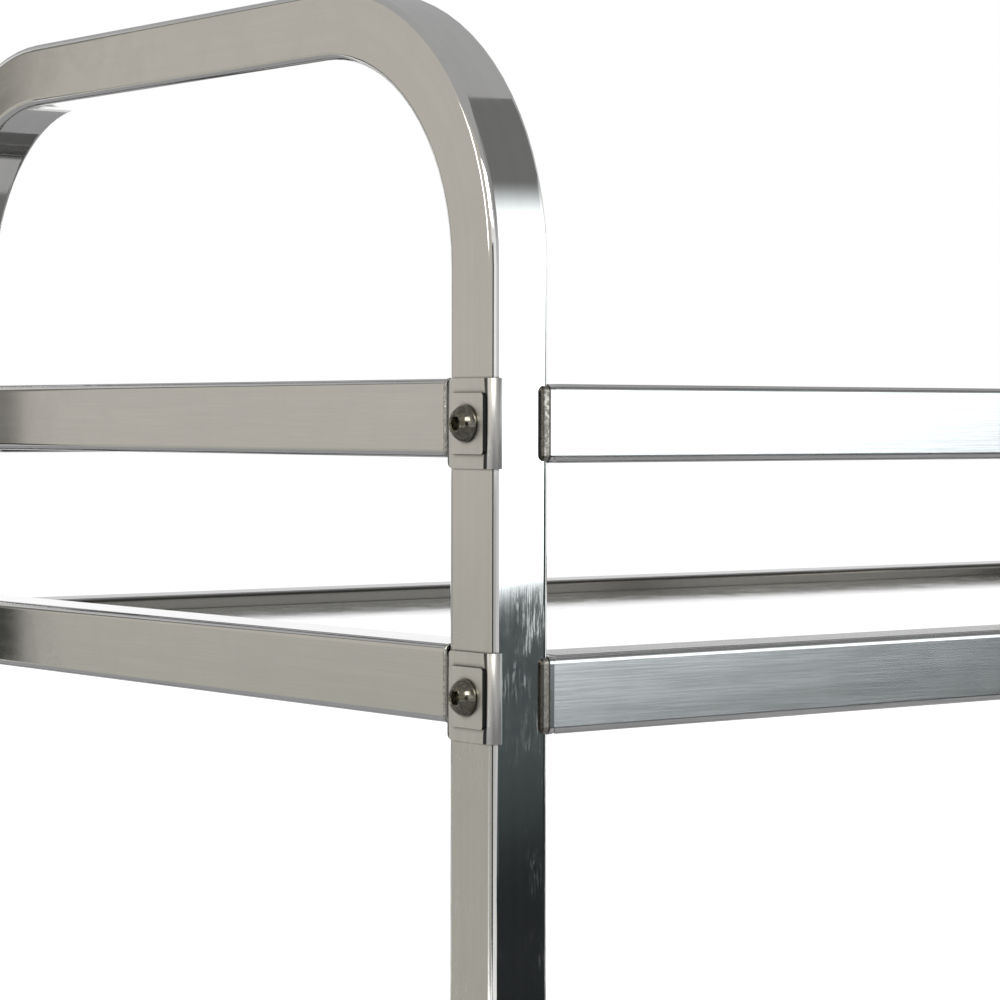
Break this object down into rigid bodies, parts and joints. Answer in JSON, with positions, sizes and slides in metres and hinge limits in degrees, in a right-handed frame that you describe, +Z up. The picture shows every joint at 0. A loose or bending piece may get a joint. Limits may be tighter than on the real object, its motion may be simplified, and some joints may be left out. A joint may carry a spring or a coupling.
{
  "type": "seasoning cart",
  "caption": "Kitchen trolley of square steel tube: bent end hoops that serve as push handles, bolted long rails, two trays and swivel casters with pedal brakes.",
  "frame": {"origin": "on the floor, under the middle of the cart", "axes": "+X along the long side, +Y across the cart from front to back, +Z up"},
  "size_m": [0.82, 0.4798, 0.9],
  "materials": {
    "post_steel": "polished stainless steel with fine vertical grain",
    "rail_steel": "polished stainless steel with fine grain along the rail",
    "collar_steel": "ground stainless steel, a little duller than the rails",
    "clip_steel": "satin stainless sheet",
    "screw_steel": "dark polished stainless steel",
    "tray_steel": "bright rolled stainless sheet",
    "plug_plastic": "moulded black plastic",
    "zinc_plate": "bright zinc plate on pressed steel",
    "washer_nylon": "plain nylon",
    "wheel_plastic": "moulded light grey plastic",
    "tyre_rubber": "non-marking grey rubber",
    "bush_bronze": "plain sintered bronze",
    "bolt_steel": "zinc plated steel",
    "pedal_plastic": "black plastic over steel"
  },
  "bodies": {
    "cart": {"hoop_left": "post_steel", "hoop_right": "post_steel", "guard_rail_left": "rail_steel", "guard_rail_right": "rail_steel", "guard_rail_front": "rail_steel", "guard_rail_back": "rail_steel", "work_rail_left": "rail_steel", "work_rail_right": "rail_steel", "work_rail_front": "rail_steel", "work_rail_back": "rail_steel", "shelf_rail_left": "rail_steel", "shelf_rail_right": "rail_steel", "shelf_rail_front": "rail_steel", "shelf_rail_back": "rail_steel", "rail_collars": "collar_steel", "corner_clips": "clip_steel", "screw_pads": "clip_steel", "rail_screws": "screw_steel", "work_tray": "tray_steel", "work_tray_rib": "tray_steel", "shelf_tray": "tray_steel", "shelf_tray_rib": "tray_steel", "tray_tabs": "tray_steel", "post_plugs": "plug_plastic", "caster_stems": "zinc_plate", "bearing_cups": "zinc_plate", "sliding_washers": "washer_nylon"},
    "caster_left_front": {"fork_left_front": "zinc_plate", "bush_left_front": "bush_bronze", "axle_left_front": "bolt_steel", "axle_nut_left_front": "bolt_steel", "brake_pin_left_front": "bolt_steel"},
    "rolling_wheel_left_front": {"wheel_left_front": "wheel_plastic", "tyre_left_front": "tyre_rubber"},
    "pedal_left_front": {"brake_pedal_left_front": "pedal_plastic"},
    "caster_left_back": {"fork_left_back": "zinc_plate", "bush_left_back": "bush_bronze", "axle_left_back": "bolt_steel", "axle_nut_left_back": "bolt_steel", "brake_pin_left_back": "bolt_steel"},
    "rolling_wheel_left_back": {"wheel_left_back": "wheel_plastic", "tyre_left_back": "tyre_rubber"},
    "pedal_left_back": {"brake_pedal_left_back": "pedal_plastic"},
    "caster_right_front": {"fork_right_front": "zinc_plate", "bush_right_front": "bush_bronze", "axle_right_front": "bolt_steel", "axle_nut_right_front": "bolt_steel"},
    "rolling_wheel_right_front": {"wheel_right_front": "wheel_plastic", "tyre_right_front": "tyre_rubber"},
    "caster_right_back": {"fork_right_back": "zinc_plate", "bush_right_back": "bush_bronze", "axle_right_back": "bolt_steel", "axle_nut_right_back": "bolt_steel"},
    "rolling_wheel_right_back": {"wheel_right_back": "wheel_plastic", "tyre_right_back": "tyre_rubber"}
  },
  "joints": [
    {"name": "swivel_left_front", "type": "hinge", "parent": "cart", "child": "caster_left_front", "pos_m": [-0.386, -0.216, 0.106], "axis": [0, 0, 1], "continuous": true},
    {"name": "roll_left_front", "type": "hinge", "parent": "caster_left_front", "child": "rolling_wheel_left_front", "pos_m": [-0.354, -0.216, 0.05], "axis": [0, 1, 0], "continuous": true},
    {"name": "brake_left_front", "type": "hinge", "parent": "caster_left_front", "child": "pedal_left_front", "pos_m": [-0.304, -0.216, 0.088], "axis": [0, 1, 0], "range_deg": [0, 14], "stiffness_Nm_per_rad": 0.12, "springref_deg": -11.46},
    {"name": "swivel_left_back", "type": "hinge", "parent": "cart", "child": "caster_left_back", "pos_m": [-0.386, 0.216, 0.106], "axis": [0, 0, 1], "continuous": true},
    {"name": "roll_left_back", "type": "hinge", "parent": "caster_left_back", "child": "rolling_wheel_left_back", "pos_m": [-0.354, 0.216, 0.05], "axis": [0, 1, 0], "continuous": true},
    {"name": "brake_left_back", "type": "hinge", "parent": "caster_left_back", "child": "pedal_left_back", "pos_m": [-0.304, 0.216, 0.088], "axis": [0, 1, 0], "range_deg": [0, 14], "stiffness_Nm_per_rad": 0.12, "springref_deg": -11.46},
    {"name": "swivel_right_front", "type": "hinge", "parent": "cart", "child": "caster_right_front", "pos_m": [0.386, -0.216, 0.106], "axis": [0, 0, 1], "continuous": true},
    {"name": "roll_right_front", "type": "hinge", "parent": "caster_right_front", "child": "rolling_wheel_right_front", "pos_m": [0.354, -0.216, 0.05], "axis": [0, 1, 0], "continuous": true},
    {"name": "swivel_right_back", "type": "hinge", "parent": "cart", "child": "caster_right_back", "pos_m": [0.386, 0.216, 0.106], "axis": [0, 0, 1], "continuous": true},
    {"name": "roll_right_back", "type": "hinge", "parent": "caster_right_back", "child": "rolling_wheel_right_back", "pos_m": [0.354, 0.216, 0.05], "axis": [0, 1, 0], "continuous": true}
  ]
}
